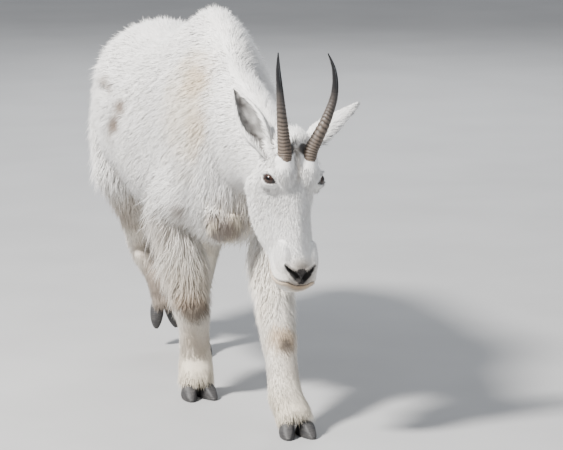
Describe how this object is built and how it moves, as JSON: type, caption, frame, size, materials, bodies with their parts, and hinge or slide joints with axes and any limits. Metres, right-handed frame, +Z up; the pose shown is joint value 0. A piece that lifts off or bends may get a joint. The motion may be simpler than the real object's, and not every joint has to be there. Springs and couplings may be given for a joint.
{
  "type": "mountain goat",
  "caption": "Life-size still mountain goat in summer coat, walking with its head low, with ringed black horns, shaggy legs, split hooves and a lifted hind foot.",
  "frame": {"origin": "middle of the animal's bounding box, on the floor", "axes": "+X to the animal's left, -Y the way it walks, +Z up"},
  "size_m": [0.3681, 1.1893, 0.8008],
  "materials": {
    "coat": "thick white hair, matt",
    "leg_coat": "shaggy cream hair, matt",
    "wool": "matted unshed wool, brown tipped",
    "horn": "ringed grey-brown horn with a polished black tip",
    "hoof": "worn grey horn",
    "eye": "wet dark brown"
  },
  "bodies": {
    "root": {"torso_front": "coat", "torso_rear": "coat", "neck": "coat", "tail": "coat", "breast_tuft": "wool", "head": "coat", "lower_jaw": "coat", "ear_right": "coat", "eye_right": "eye", "horn_right": "horn", "ear_left": "coat", "eye_left": "eye", "horn_left": "horn", "fore_right_leg_upper": "leg_coat", "fore_right_leg_lower": "leg_coat", "fore_right_toe_right": "hoof", "fore_right_dewclaw_right": "hoof", "fore_right_toe_left": "hoof", "fore_right_dewclaw_left": "hoof", "fore_left_leg_upper": "leg_coat", "fore_left_leg_lower": "leg_coat", "fore_left_toe_right": "hoof", "fore_left_dewclaw_right": "hoof", "fore_left_toe_left": "hoof", "fore_left_dewclaw_left": "hoof", "hind_right_leg_upper": "leg_coat", "hind_right_leg_lower": "leg_coat", "hind_right_toe_right": "hoof", "hind_right_dewclaw_right": "hoof", "hind_right_toe_left": "hoof", "hind_right_dewclaw_left": "hoof", "hind_left_leg_upper": "leg_coat", "hind_left_leg_lower": "leg_coat", "hind_left_toe_right": "hoof", "hind_left_dewclaw_right": "hoof", "hind_left_toe_left": "hoof", "hind_left_dewclaw_left": "hoof"}
  },
  "joints": []
}
